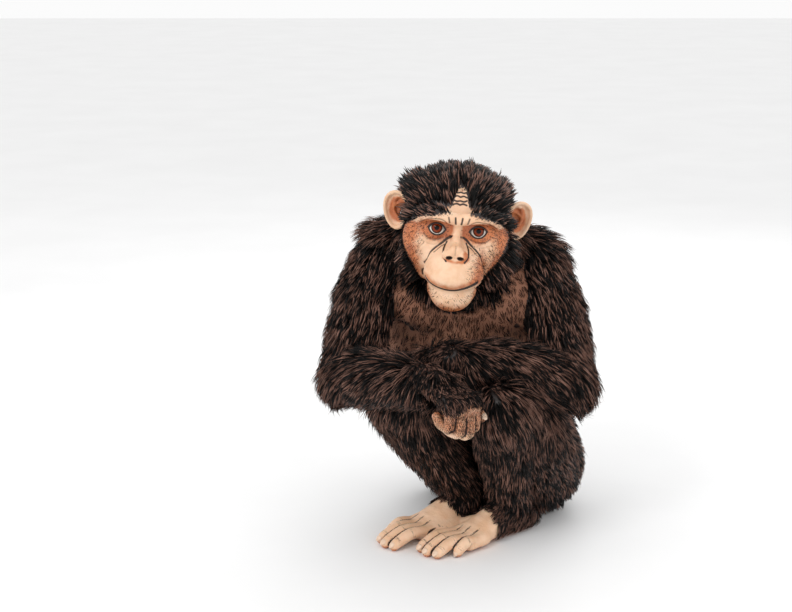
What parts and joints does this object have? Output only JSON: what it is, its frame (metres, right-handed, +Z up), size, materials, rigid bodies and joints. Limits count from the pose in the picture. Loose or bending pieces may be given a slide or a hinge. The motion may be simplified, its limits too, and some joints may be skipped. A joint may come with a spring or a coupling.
{
  "type": "chimpanzee",
  "caption": "Life-size chimpanzee sitting on the floor, knees up, feet flat, arms folded over the knees, pale face and dark shaggy coat.",
  "frame": {"origin": "middle of the part's box, on the floor it sits on", "axes": "+Z up, -Y the way the chest and face look, +X the animal's left"},
  "size_m": [0.48, 0.5008, 0.6574],
  "materials": {
    "coat": "coarse dark brown to black hair",
    "skin": "bare creased skin with a soft sheen",
    "eye": "wet gloss",
    "nail": "smooth nail"
  },
  "bodies": {
    "root": {"eye_left": "eye", "eye_right": "eye", "head": "skin", "ear_left": "skin", "ear_right": "skin", "torso": "coat", "neck": "coat", "foot_left": "skin", "foot_right": "skin", "shank_left": "coat", "shank_right": "coat", "thigh_left": "coat", "thigh_right": "coat", "hand_left": "skin", "hand_right": "skin", "forearm_left": "coat", "forearm_right": "coat", "upper_arm_left": "coat", "upper_arm_right": "coat"}
  },
  "joints": []
}
